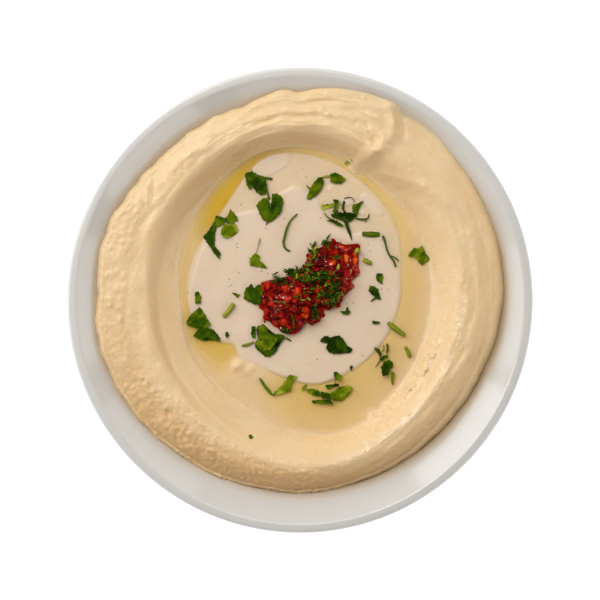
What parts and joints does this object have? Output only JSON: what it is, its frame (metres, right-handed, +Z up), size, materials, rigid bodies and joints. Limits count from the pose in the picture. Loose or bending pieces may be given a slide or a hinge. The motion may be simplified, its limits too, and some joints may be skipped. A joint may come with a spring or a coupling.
{
  "type": "dish of hummus",
  "caption": "Bowl of hummus swept into a ring, its well filled with tahini and golden oil and topped with a heap of red pepper paste.",
  "frame": {"origin": "on the bowl's axis, at the flat bottom of its foot ring", "axes": "+Z up along the bowl's axis; +Y to the far side of the dish, where the end of the spoon's sweep lies to the right; +X to the right"},
  "size_m": [0.2, 0.2, 0.038],
  "materials": {
    "white_glaze": "gloss glaze, off-white",
    "hummus": "moist paste, softly shining, stands in for food",
    "tahini": "thick cream, softly shining, stands in for food",
    "olive_oil": "clear golden oil",
    "pepper_paste": "wet, glossy, chopped",
    "parsley": "fresh leaf, satin"
  },
  "bodies": {
    "root": {"bowl": "white_glaze", "hummus": "hummus", "tahini": "tahini", "olive_oil": "olive_oil", "pepper_paste": "pepper_paste"}
  },
  "joints": []
}
